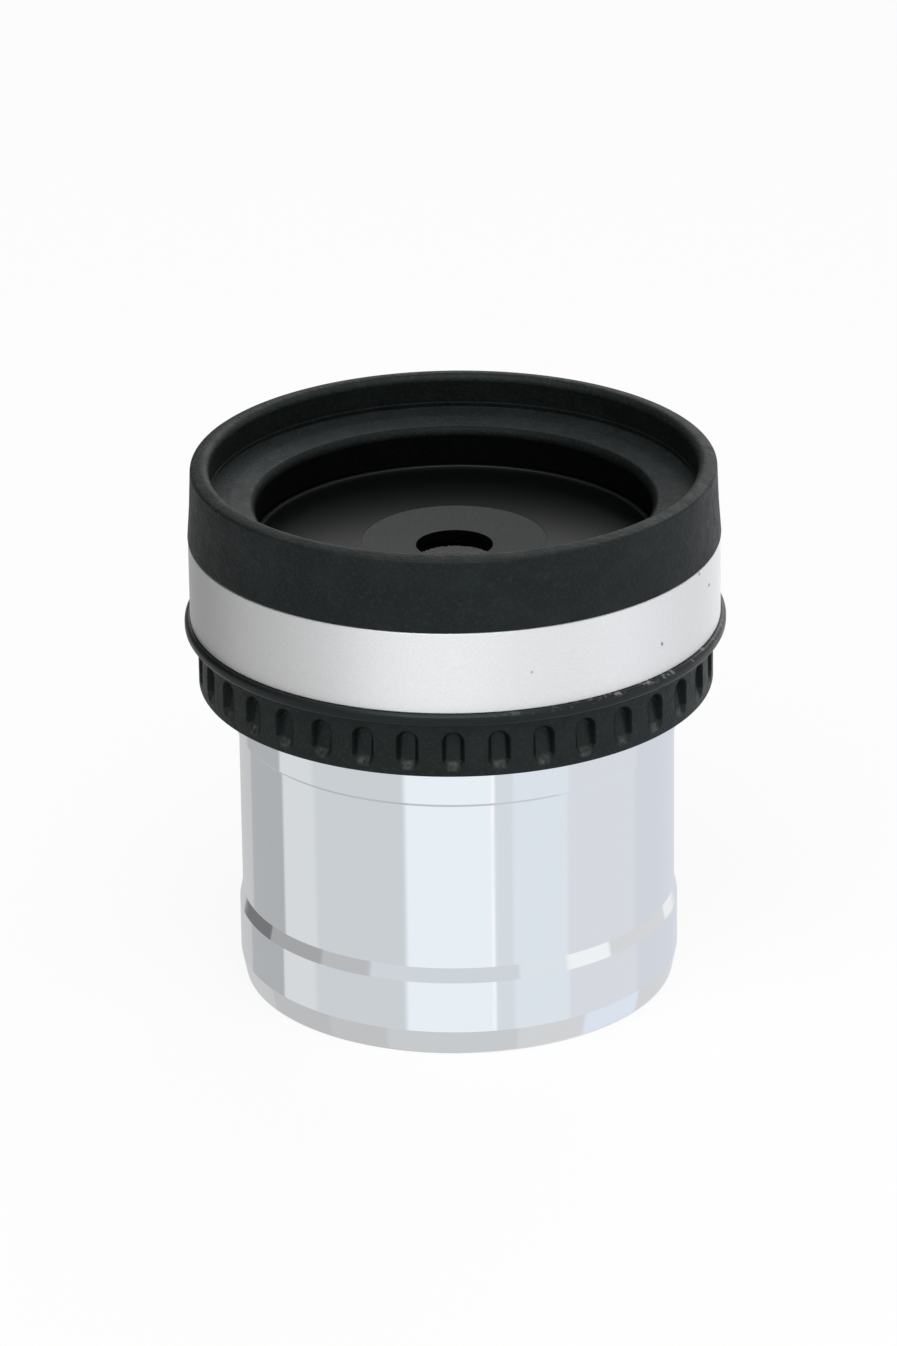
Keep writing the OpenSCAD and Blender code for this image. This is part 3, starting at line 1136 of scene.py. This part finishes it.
@dataclass
class EyeEnd:
    """Rubber eyecup, the plate at the bottom of its well and the cap round the eye lens."""

    cup_proud: float = 0.04
    cup_waist_z: float = 2.4
    cup_waist: float = 0.18
    cup_taper: float = 0.3
    cup_edge: float = 0.12
    waist_rounding: float = 8.0
    rim: float = 1.36
    rim_slope: float = 13.0
    rim_shoulder: float = 0.22
    rim_edge: float = 0.52
    rim_depth: float = 2.57
    rim_undercut: float = 0.05
    bead: float = 0.1
    bead_height: float = 0.42
    bead_undercut: float = 0.14
    shelf_flat: float = 1.5
    shelf_fall: float = 0.06
    shelf_slope: float = 10.5
    shelf_bend: float = 1.0
    shelf_edge: float = 0.6
    well_flare: float = 0.36
    skirt: float = 0.5
    outer_skirt: float = 1.43
    groove_roof: float = 1.63
    small: float = 0.05
    bead_edge: float = 0.025
    paint_slack: float = 0.01
    plate_hole_gap: float = 0.005
    plate_step: float = 0.015
    plate_edge: float = 0.0075
    plate_bead: float = 0.16
    plate_bead_width: float = 0.3
    plate_gap: float = 0.06
    plate_thickness: float = 2.0
    flange_r: float = 8.5
    cap_dish: float = 0.33
    cap_lip: float = 0.6
    cap_chamfer: float = 0.012
    cap_bore_r: float = 5.15
    eye_hole_r: float = 2.73

    def __post_init__(self) -> None:
        """Reads the places that the frame gives."""
        self.cup = Extent.of("eyecup")
        self.band = Extent.of("silver_band")
        self.plate = Extent.of("eye_plate")
        self.cap = Extent.of("eye_cap")

    def eyecup(self) -> bmesh.types.BMesh:
        """Turns the eyecup.

        Returns:
            The eyecup, with painted shade down the well as finish 1, painted shade on the rim's inside and
            the shelf's edge as 2, and painted light on the shelf as 3.
        """
        foot, top = self.band.high, self.cup.high
        foot_r = self.band.r + self.cup_proud
        rim_r = foot_r - self.cup_taper
        inner_r = rim_r - self.rim
        slope = math.tan(math.radians(self.rim_slope))
        # The inner rounding takes the sloped corner back down to the top.
        peak = top + self.rim_edge * (slope + math.hypot(1, slope) - 1)
        bead_r = inner_r + self.rim_undercut
        well_foot_r = self.plate.r - self.skirt
        well_r = well_foot_r - self.well_flare
        shelf = top - self.rim_depth
        bend_r = bead_r - self.shelf_flat
        bend = shelf - self.shelf_fall
        brink = bend - (bend_r - well_r) * math.tan(math.radians(self.shelf_slope))
        groove_r = foot_r - self.outer_skirt
        bm = Lathe.turned([
            Corner(foot_r, foot, self.cup_edge),
            Corner(foot_r - self.cup_waist, foot + self.cup_waist_z, self.waist_rounding),
            Corner(rim_r, peak - self.rim * slope, self.rim_shoulder),
            Corner(inner_r, peak, self.rim_edge),
            Corner(bead_r, shelf + self.bead_height, self.bead_edge),
            Corner(bead_r - self.bead, shelf + self.bead_height, self.bead_edge),
            Corner(bead_r - self.bead + self.bead_undercut, shelf, self.small),
            Corner(bend_r, bend, self.shelf_bend),
            Corner(well_r, brink, self.shelf_edge),
            Corner(well_foot_r, self.cup.low, self.small),
            Corner(self.plate.r, self.cup.low, self.small),
            Corner(self.plate.r, foot + self.groove_roof),
            Corner(groove_r, foot + self.groove_roof),
            Corner(groove_r, foot, self.small),
        ])
        Bench.close(bm)
        well_shade, bead_top, crest = brink - self.shelf_edge, shelf + self.bead_height, top - self.rim_edge
        # Painted shade: a darker rubber down the well.
        Bench.paint(bm, 1, lambda rad, z: rad < well_foot_r and z < well_shade)
        # Painted shade: a darker rubber on the rim's inside and the shelf's edge.
        Bench.paint(bm, 2, lambda rad, z: rad < bead_r + self.small and bead_top < z < crest)
        Bench.paint(bm, 2, lambda rad, z: rad < well_r + self.shelf_edge and well_shade <= z < brink)
        # Painted light: a paler, glossier rubber on the upward-facing shelf.
        Bench.paint(bm, 3, lambda rad, z: rad < bead_r - self.bead and brink <= z <= shelf)
        return bm

    def eye_plate(self) -> bmesh.types.BMesh:
        """Turns the plate at the bottom of the well.

        Returns:
            The plate, with the fine bead round its edge as finish 1, a paler, glossier black that paints a
            highlight on it.
        """
        r, low, high = self.plate.r, self.plate.low, self.cap.high + self.plate_step
        ledge = self.plate.high - self.plate_thickness
        bead_out = r - self.skirt - self.plate_gap
        bead_in = bead_out - self.plate_bead_width
        hole_r = self.cap.r + self.plate_hole_gap
        bm = Lathe.turned([
            Corner(hole_r, low),
            Corner(self.flange_r, low),
            Corner(self.flange_r, ledge),
            Corner(r, ledge),
            Corner(r, high),
            Corner(bead_out, high),
            Corner(bead_out, high + self.plate_bead, self.small),
            Corner(bead_in, high + self.plate_bead, self.small),
            Corner(bead_in, high),
            Corner(hole_r, high, self.plate_edge),
        ])
        Bench.close(bm)
        # Painted highlight: a paler, glossier black on the bead.
        Bench.paint(bm, 1, lambda rad, z: z > high + self.paint_slack)
        return bm

    def eye_cap(self) -> bmesh.types.BMesh:
        """Turns the dished cap.

        Returns:
            The cap, with its eye hole as finish 1.
        """
        r, low, high = self.cap.r, self.cap.low, self.cap.high
        edge = high - self.cap_dish
        under = edge - self.cap_lip
        bm = Lathe.turned([
            Corner(self.eye_hole_r, under),
            Corner(self.eye_hole_r, edge, self.small),
            Corner(r - self.cap_chamfer, high),
            Corner(r, high - self.cap_chamfer),
            Corner(r, low, self.small),
            Corner(self.cap_bore_r, low),
            Corner(self.cap_bore_r, under),
        ])
        Bench.close(bm)
        Bench.paint(bm, 1, lambda rad, z: rad < self.eye_hole_r + self.paint_slack)
        return bm

    def build(self) -> None:
        """Makes and dresses the eye end."""
        rubber = MouldedRubber(
            "eyecup_rubber_finish",
            base=(0.0034, 0.0042, 0.0042),
            bloom=(0.0075, 0.009, 0.009),
            roughness=(0.46, 0.58),
            specular=0.27,
        ).material()
        # Darker, duller copy of the rubber down the well: painted shade.
        well_shade = MouldedRubber(
            "well_lining",
            base=(0.0012, 0.0012, 0.0012),
            bloom=(0.002, 0.002, 0.002),
            roughness=(0.6, 0.7),
            specular=0.06,
        ).material()
        # Darker copy of the rubber on the rim's inside and the shelf's edge: painted shade.
        inside = MouldedRubber(
            "rim_inside",
            base=(0.0025, 0.003, 0.003),
            bloom=(0.005, 0.006, 0.006),
            roughness=(0.5, 0.62),
            specular=0.17,
        ).material()
        # Paler, glossier copy of the rubber on the shelf: painted light.
        shelf = MouldedRubber(
            "dusted_shelf",
            base=(0.008, 0.0093, 0.0093),
            bloom=(0.013, 0.015, 0.015),
            roughness=(0.5, 0.62),
            specular=0.33,
        ).material()
        plate = TurnedBlack(
            "plate_black", colour=(0.0014, 0.0018, 0.0018), roughness=0.3, specular=0.14, paler=4.0
        ).material()
        # Paler, glossier copy of the plate's black on the bead: a painted highlight.
        bead = TurnedBlack(
            "bead_black", colour=(0.01, 0.011, 0.011), roughness=0.35, specular=0.4
        ).material()
        cap = TurnedBlack(
            "cap_grey", colour=(0.041, 0.0435, 0.044), roughness=0.7, specular=0.2, ring=0.08
        ).material()
        hole = TurnedBlack(
            "hole_black", colour=(0.0008, 0.0008, 0.0008), roughness=0.8, specular=0.03
        ).material()
        cup, ring = [rubber, well_shade, inside, shelf], [plate, bead]
        Bench.piece(self.eyecup(), "eyecup_cup", "eyecup", Body.EYECUP, Slot.EYECUP, cup)
        Bench.piece(self.eye_plate(), "eye_end_plate", "eye_plate", Body.HOUSING, Slot.EYE_END, ring)
        Bench.piece(self.eye_cap(), "eye_lens_cap", "eye_cap", Body.HOUSING, Slot.EYE_END, [cap, hole])


@dataclass
class LensStack:
    """Outer lens of each cemented pair, and the cell and inner pieces, which stay as the frame has them."""

    nodes: dict[str, bpy.types.Object]
    centre_thickness: float = 0.62
    hollow_r: float = 3.6
    rim: float = 0.167
    bevel: float = 0.06
    face_hollow: float = 0.08
    steps: int = 12

    def flint(self, node: str, flat_up: bool) -> bmesh.types.BMesh:
        """Turns a lens with one nearly flat and one hollow face.

        Args:
            node: Frame node that the lens stands for.
            flat_up: Whether the nearly flat face looks up.

        Returns:
            The lens, with its coated outer face as finish 1.
        """
        lens = Extent.of(node)
        flat, foot, into = (lens.high, lens.low, -1) if flat_up else (lens.low, lens.high, 1)
        reach = math.asin((lens.r - self.rim) / self.hollow_r)
        centre = flat + into * (self.centre_thickness + self.hollow_r)
        angles = [reach * (1 - step / self.steps) for step in range(self.steps + 1)]
        hollow = [
            Corner(self.hollow_r * math.sin(a), centre - into * self.hollow_r * math.cos(a)) for a in angles
        ]
        shares = [step / self.steps for step in range(self.steps)]
        face = [Corner(lens.r * s, flat + into * self.face_hollow * (1 - s * s)) for s in shares]
        rim = [Corner(lens.r, flat, self.bevel), Corner(lens.r, foot)]
        bm = bmesh.new()
        Lathe.chain(bm, [*face, *rim, *hollow], closed=False)
        Lathe.spin(bm)
        Bench.close(bm)
        Bench.paint(bm, 1, lambda rad, z: abs(z - flat) < self.face_hollow + self.bevel / 2)
        return bm

    def build(self) -> None:
        """Makes the outer lenses and dresses the frame's own pieces."""
        black = TurnedBlack(
            "cell_black", colour=(0.004, 0.004, 0.0045), roughness=0.7, specular=0.2
        ).material()
        stop = TurnedBlack(
            "stop_black", colour=(0.024, 0.024, 0.0255), roughness=0.5, specular=0.4
        ).material()
        coated = LensGlass("coated_face", tint=(0.5, 0.52, 0.52), coating=0.28).material()
        inner = LensGlass("inner_face", tint=(0.9, 0.93, 0.92), coating=0.0).material()
        for node, name, flat_up in (("eye_flint", "eye_lens", True), ("field_flint", "field_lens", False)):
            Bench.piece(self.flint(node, flat_up), name, node, Body.HOUSING, Slot.COATED, [inner, coated])
        for node in ("eye_crown", "field_crown"):
            Bench.dress(self.nodes[node], inner)
        for node in ("lens_cell", "lens_spacer"):
            Bench.dress(self.nodes[node], black)
        for node in ("field_stop", "stop_lock_ring"):
            Bench.dress(self.nodes[node], stop)


@dataclass(frozen=True)
class Card:
    """One card of the tent: the azimuths it spans from the camera's side, + to the right, and its level."""

    start: float
    end: float
    level: float
    tint: tuple[float, float, float] = (1.0, 1.0, 1.0)


@dataclass(frozen=True)
class Lamp:
    """A soft square lamp, placed by azimuth and elevation in degrees, in metres and watts."""

    name: str
    azimuth: float
    elevation: float
    distance: float
    size: float
    power: float


@dataclass
class LightTent:
    """Plain studio: a tent of pale cards as the world, soft lamps and a white floor."""

    front: float = 0.5
    seam: float = 1.2
    gain: float = 1.4
    table_edge: tuple[float, float] = (-0.52, -0.45)
    low_edge: tuple[float, float] = (-0.35, -0.3)
    high_edge: tuple[float, float] = (0.12, 0.28)
    roof_edge: tuple[float, float] = (0.55, 0.9)
    roof: float = 0.55
    floor_size: float = 3.0
    floor_colour: float = 0.9
    floor_glow: float = 0.86
    lamps: tuple[Lamp, ...] = (
        Lamp("front_lamp", azimuth=-8, elevation=66, distance=0.6, size=0.45, power=1.5),
    )
    cards: dict[Tier, tuple[Card, ...]] = field(default_factory=lambda: {
        Tier.TABLE: (
            Card(-180, -130, 0.62),
            Card(-130, -84, 0.56),
            Card(-84, -46, 0.6),
            Card(-46, 36, 0.67, (0.99, 1.0, 1.01)),
            Card(36, 80, 0.73),
            Card(80, 122, 0.86, (0.94, 1.0, 1.1)),
            Card(122, 180, 0.72),
        ),
        Tier.LOW: (
            Card(-180, -142, 0.6, (0.99, 1.0, 1.0)),
            Card(-142, -106, 0.48, (0.99, 1.0, 1.02)),
            Card(-106, -81.5, 0.78, (0.98, 1.0, 1.01)),
            Card(-81.5, -28, 0.7, (0.97, 1.0, 1.02)),
            Card(-28, 17.5, 0.98, (0.95, 1.0, 1.04)),
            Card(17.5, 19, 1.1),
            Card(19, 29, 0.79, (0.95, 1.0, 1.04)),
            Card(29, 60, 0.86, (0.95, 1.0, 1.05)),
            Card(60, 108, 0.79, (0.98, 1.0, 1.04)),
            Card(108, 180, 0.74, (0.97, 1.0, 1.07)),
        ),
        Tier.LEVEL: (
            Card(-180, -170, 0.15),
            Card(-170, -149, 0.55),
            Card(-149, -112, 0.2),
            Card(-112, -74, 0.42),
            Card(-74, -46, 0.55),
            Card(-46, 30, 0.74, (0.96, 1.0, 1.04)),
            Card(30, 56, 0.86, (0.96, 1.0, 1.04)),
            Card(56, 82, 1.0),
            Card(82, 132, 0.75),
            Card(132, 170, 0.95),
            Card(170, 180, 0.15),
        ),
        Tier.HIGH: (
            Card(-180, -170, 1.5),
            Card(-170, -150, 0.1),
            Card(-150, -85, 0.03),
            Card(-85, -50, 0.55),
            Card(-50, 30, 1.2),
            Card(30, 110, 1.0),
            Card(110, 150, 0.8),
            Card(150, 170, 2.2),
            Card(170, 180, 1.5),
        ),
    })

    def world(self) -> None:
        """Builds the tent, white where the camera looks past the object or through its glass."""
        world = bpy.data.worlds.new("light_tent")
        world.use_nodes = True
        world.cycles.sampling_method = "NONE"
        bpy.context.scene.world = world
        tree = world.node_tree
        tree.nodes.clear()
        join = tree.links.new
        view = tree.nodes.new("ShaderNodeTexCoord")
        axes = tree.nodes.new("ShaderNodeSeparateXYZ")
        join(view.outputs["Generated"], axes.inputs["Vector"])
        depth = self.maths(tree, "MULTIPLY", axes.outputs["Y"], -1.0)
        azimuth = self.maths(tree, "ARCTAN2", axes.outputs["X"], depth)
        turn = self.maths(tree, "MULTIPLY_ADD", azimuth, 1 / FULL_TURN, self.front)
        rings = {tier: self.ring(tree, turn, cards) for tier, cards in self.cards.items()}
        height = axes.outputs["Z"]
        walls = self.meet(tree, height, self.table_edge, rings[Tier.TABLE], rings[Tier.LOW])
        walls = self.meet(tree, height, self.low_edge, walls, rings[Tier.LEVEL])
        walls = self.meet(tree, height, self.high_edge, walls, rings[Tier.HIGH])
        lid = tree.nodes.new("ShaderNodeRGB")
        lid.outputs["Color"].default_value = (*[self.roof / self.gain] * 3, 1)
        tent = self.meet(tree, height, self.roof_edge, walls, lid.outputs["Color"])
        inside = tree.nodes.new("ShaderNodeBackground")
        inside.inputs["Strength"].default_value = self.gain
        join(tent, inside.inputs["Color"])
        white = tree.nodes.new("ShaderNodeBackground")
        white.inputs["Color"].default_value = (1, 1, 1, 1)
        mix = tree.nodes.new("ShaderNodeMixShader")
        join(self.seen(tree), mix.inputs["Fac"])
        join(inside.outputs["Background"], mix.inputs[1])
        join(white.outputs["Background"], mix.inputs[2])
        output = tree.nodes.new("ShaderNodeOutputWorld")
        join(mix.outputs["Shader"], output.inputs["Surface"])

    @staticmethod
    def maths(
        tree: bpy.types.NodeTree,
        kind: str,
        *values: "bpy.types.NodeSocket | float",
    ) -> bpy.types.NodeSocket:
        """Adds a Math node to the tent or the floor.

        Args:
            tree: Nodes that take the new one.
            kind: Operation of the node.
            values: Sockets or numbers for its inputs.

        Returns:
            The node's output.
        """
        node = tree.nodes.new("ShaderNodeMath")
        node.operation = kind
        for index, value in enumerate(values):
            if isinstance(value, bpy.types.NodeSocket):
                tree.links.new(value, node.inputs[index])
            else:
                node.inputs[index].default_value = value
        return node.outputs["Value"]

    def seen(self, tree: bpy.types.NodeTree) -> bpy.types.NodeSocket:
        """Finds out whether a ray comes from the camera, straight or through glass.

        Args:
            tree: Nodes that take the answer.

        Returns:
            One for such a ray, and zero for any other.
        """
        path = tree.nodes.new("ShaderNodeLightPath")
        straight, through = path.outputs["Is Camera Ray"], path.outputs["Is Transmission Ray"]
        return self.maths(tree, "MAXIMUM", straight, through)

    def ring(
        self,
        tree: bpy.types.NodeTree,
        turn: bpy.types.NodeSocket,
        cards: Sequence[Card],
    ) -> bpy.types.NodeSocket:
        """Sets cards side by side round the tent.

        Args:
            tree: The tent's nodes.
            turn: Azimuth as a share of a turn, with the camera's side in front.
            cards: Cards in order.

        Returns:
            The ring's colour.
        """
        node = tree.nodes.new("ShaderNodeValToRGB")
        tree.links.new(turn, node.inputs["Fac"])
        stops = node.color_ramp.elements
        ends = []
        for card in cards:
            colour = (*[card.level / self.gain * t for t in card.tint], 1)
            ends += [(card.start + self.seam / 2, colour), (card.end - self.seam / 2, colour)]
        while len(stops) < len(ends):
            stops.new(1.0)
        for stop, (degrees, colour) in zip(stops, ends):
            stop.position = math.radians(degrees) / FULL_TURN + self.front
            stop.color = colour
        return node.outputs["Color"]

    @staticmethod
    def meet(
        tree: bpy.types.NodeTree,
        height: bpy.types.NodeSocket,
        edge: tuple[float, float],
        lower: bpy.types.NodeSocket,
        upper: bpy.types.NodeSocket,
    ) -> bpy.types.NodeSocket:
        """Lets one ring pass into the one above it.

        Args:
            tree: The tent's nodes.
            height: Sine of the elevation.
            edge: Heights between which the rings pass into each other.
            lower: Colour of the lower ring.
            upper: Colour of the upper ring.

        Returns:
            The joined colour.
        """
        share = tree.nodes.new("ShaderNodeMapRange")
        share.interpolation_type = "SMOOTHSTEP"
        share.inputs["From Min"].default_value, share.inputs["From Max"].default_value = edge
        tree.links.new(height, share.inputs["Value"])
        mix = tree.nodes.new("ShaderNodeMix")
        mix.data_type = "RGBA"
        tree.links.new(share.outputs["Result"], mix.inputs["Factor"])
        tree.links.new(lower, mix.inputs["A"])
        tree.links.new(upper, mix.inputs["B"])
        return mix.outputs["Result"]

    @staticmethod
    def hang(lamp: Lamp) -> None:
        """Hangs a soft square lamp that faces the eyepiece.

        Args:
            lamp: Sizes and place of the lamp.
        """
        azimuth, elevation = math.radians(lamp.azimuth), math.radians(lamp.elevation)
        level = Vector((math.sin(azimuth), -math.cos(azimuth), 0)) * math.cos(elevation)
        place = (level + Vector((0, 0, math.sin(elevation)))) * lamp.distance
        light = bpy.data.lights.new(lamp.name, "AREA")
        light.size, light.energy = lamp.size, lamp.power
        thing = bpy.data.objects.new(lamp.name, light)
        thing.location = place
        thing.rotation_mode = "QUATERNION"
        thing.rotation_quaternion = (-place).to_track_quat("-Z", "Y")
        bpy.context.scene.collection.objects.link(thing)

    def floor(self) -> None:
        """Lays the white floor, which shows the shadow and lets chrome see the tent."""
        bm = bmesh.new()
        bmesh.ops.create_grid(bm, x_segments=1, y_segments=1, size=self.floor_size)
        mesh = bpy.data.meshes.new("white_floor")
        bm.to_mesh(mesh)
        bm.free()
        material = bpy.data.materials.new("white_floor")
        material.use_nodes = True
        tree = material.node_tree
        tree.nodes.clear()
        join = tree.links.new
        paper = tree.nodes.new("ShaderNodeBsdfDiffuse")
        paper.inputs["Color"].default_value = (*[self.floor_colour] * 3, 1)
        glow = tree.nodes.new("ShaderNodeEmission")
        glow.inputs["Color"].default_value = (1, 1, 1, 1)
        share = self.maths(tree, "MULTIPLY", self.seen(tree), self.floor_glow)
        lit = tree.nodes.new("ShaderNodeMixShader")
        join(share, lit.inputs["Fac"])
        join(paper.outputs["BSDF"], lit.inputs[1])
        join(glow.outputs["Emission"], lit.inputs[2])
        clear = tree.nodes.new("ShaderNodeBsdfTransparent")
        side = tree.nodes.new("ShaderNodeNewGeometry")
        top = tree.nodes.new("ShaderNodeMixShader")
        join(side.outputs["Backfacing"], top.inputs["Fac"])
        join(lit.outputs["Shader"], top.inputs[1])
        join(clear.outputs["BSDF"], top.inputs[2])
        output = tree.nodes.new("ShaderNodeOutputMaterial")
        join(top.outputs["Shader"], output.inputs["Surface"])
        mesh.materials.append(material)
        floor = bpy.data.objects.new("white_floor", mesh)
        floor.visible_glossy = False
        bpy.context.scene.collection.objects.link(floor)

    def build(self) -> None:
        """Sets up the world, the lamps and the floor."""
        bpy.context.scene.view_settings.view_transform = "Standard"
        self.world()
        for lamp in self.lamps:
            self.hang(lamp)
        self.floor()


@dataclass(frozen=True)
class Viewpoint:
    """Camera at the photograph's angle, in metres, degrees and pixels of the photograph."""

    place: tuple[float, float, float] = (0.0, -0.46, 0.21816)
    yaw: float = -0.067
    pitch: float = 23.012
    roll: float = -0.73
    focal_pixels: float = 6976.2
    long_side_pixels: int = 1346
    sensor: float = 36.0
    clip: tuple[float, float] = (0.01, 20.0)

    def build(self) -> None:
        """Makes the camera and gives it to the scene."""
        yaw, pitch, roll = (math.radians(a) for a in (self.yaw, self.pitch, self.roll))
        ahead = Vector((math.sin(yaw) * math.cos(pitch), math.cos(yaw) * math.cos(pitch), -math.sin(pitch)))
        level = Vector((math.cos(yaw), -math.sin(yaw), 0))
        above = level.cross(ahead)
        right = math.cos(roll) * level + math.sin(roll) * above
        up = -math.sin(roll) * level + math.cos(roll) * above
        data = bpy.data.cameras.new("viewpoint")
        data.sensor_width = self.sensor
        data.lens = self.focal_pixels * self.sensor / self.long_side_pixels
        data.clip_start, data.clip_end = self.clip
        camera = bpy.data.objects.new("viewpoint", data)
        turn = Matrix((right, up, -ahead)).transposed().to_4x4()
        camera.matrix_world = Matrix.Translation(self.place) @ turn
        bpy.context.scene.collection.objects.link(camera)
        bpy.context.scene.camera = camera


def clear_scene() -> None:
    """Removes what Blender starts with."""
    for thing in list(bpy.data.objects):
        bpy.data.objects.remove(thing)


def main() -> None:
    """Builds the camera, the pieces and the studio in order."""
    logging.basicConfig(level=logging.INFO, format="%(name)s: %(message)s")
    clear_scene()
    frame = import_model()
    Viewpoint().build()
    Barrel().build()
    Housing().build()
    GripRing().build()
    EyeEnd().build()
    LensStack(frame["nodes"]).build()
    LightTent().build()


if __name__ == "__main__":
    main()
